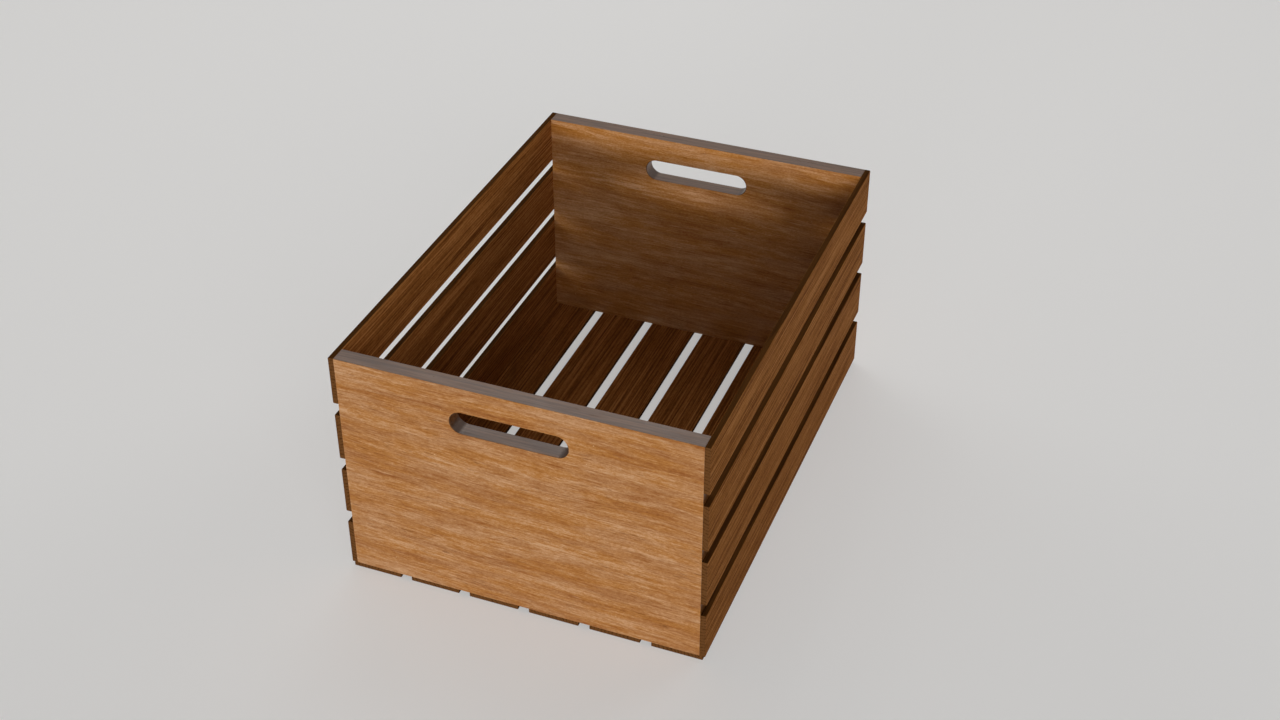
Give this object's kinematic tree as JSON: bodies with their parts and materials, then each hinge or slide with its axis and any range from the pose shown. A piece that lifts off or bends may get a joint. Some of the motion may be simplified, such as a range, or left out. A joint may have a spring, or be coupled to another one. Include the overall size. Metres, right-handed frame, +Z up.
{
  "type": "wooden crate",
  "caption": "Open slatted wooden storage crate with solid end boards, a hand hole near the top of each end, and spaced side and bottom slats.",
  "frame": {"origin": "middle of the footprint, on the ground, under the bottom slats", "axes": "+Y along the crate from the front panel to the back panel, +X to the right seen from the front, +Z up"},
  "size_m": [0.324, 0.45, 0.22],
  "materials": {
    "end_board": "bare planed hardwood, honey brown, satin",
    "slat": "bare planed hardwood, reddish brown, satin",
    "pin": "bare drawn steel"
  },
  "bodies": {
    "root": {"front_panel": "end_board", "back_panel": "end_board", "left_slat_1": "slat", "left_slat_2": "slat", "left_slat_3": "slat", "left_slat_4": "slat", "right_slat_1": "slat", "right_slat_2": "slat", "right_slat_3": "slat", "right_slat_4": "slat", "bottom_slat_1": "slat", "bottom_slat_2": "slat", "bottom_slat_3": "slat", "bottom_slat_4": "slat", "bottom_slat_5": "slat", "bottom_slat_6": "slat", "left_pins": "pin", "right_pins": "pin", "bottom_pins": "pin"}
  },
  "joints": []
}
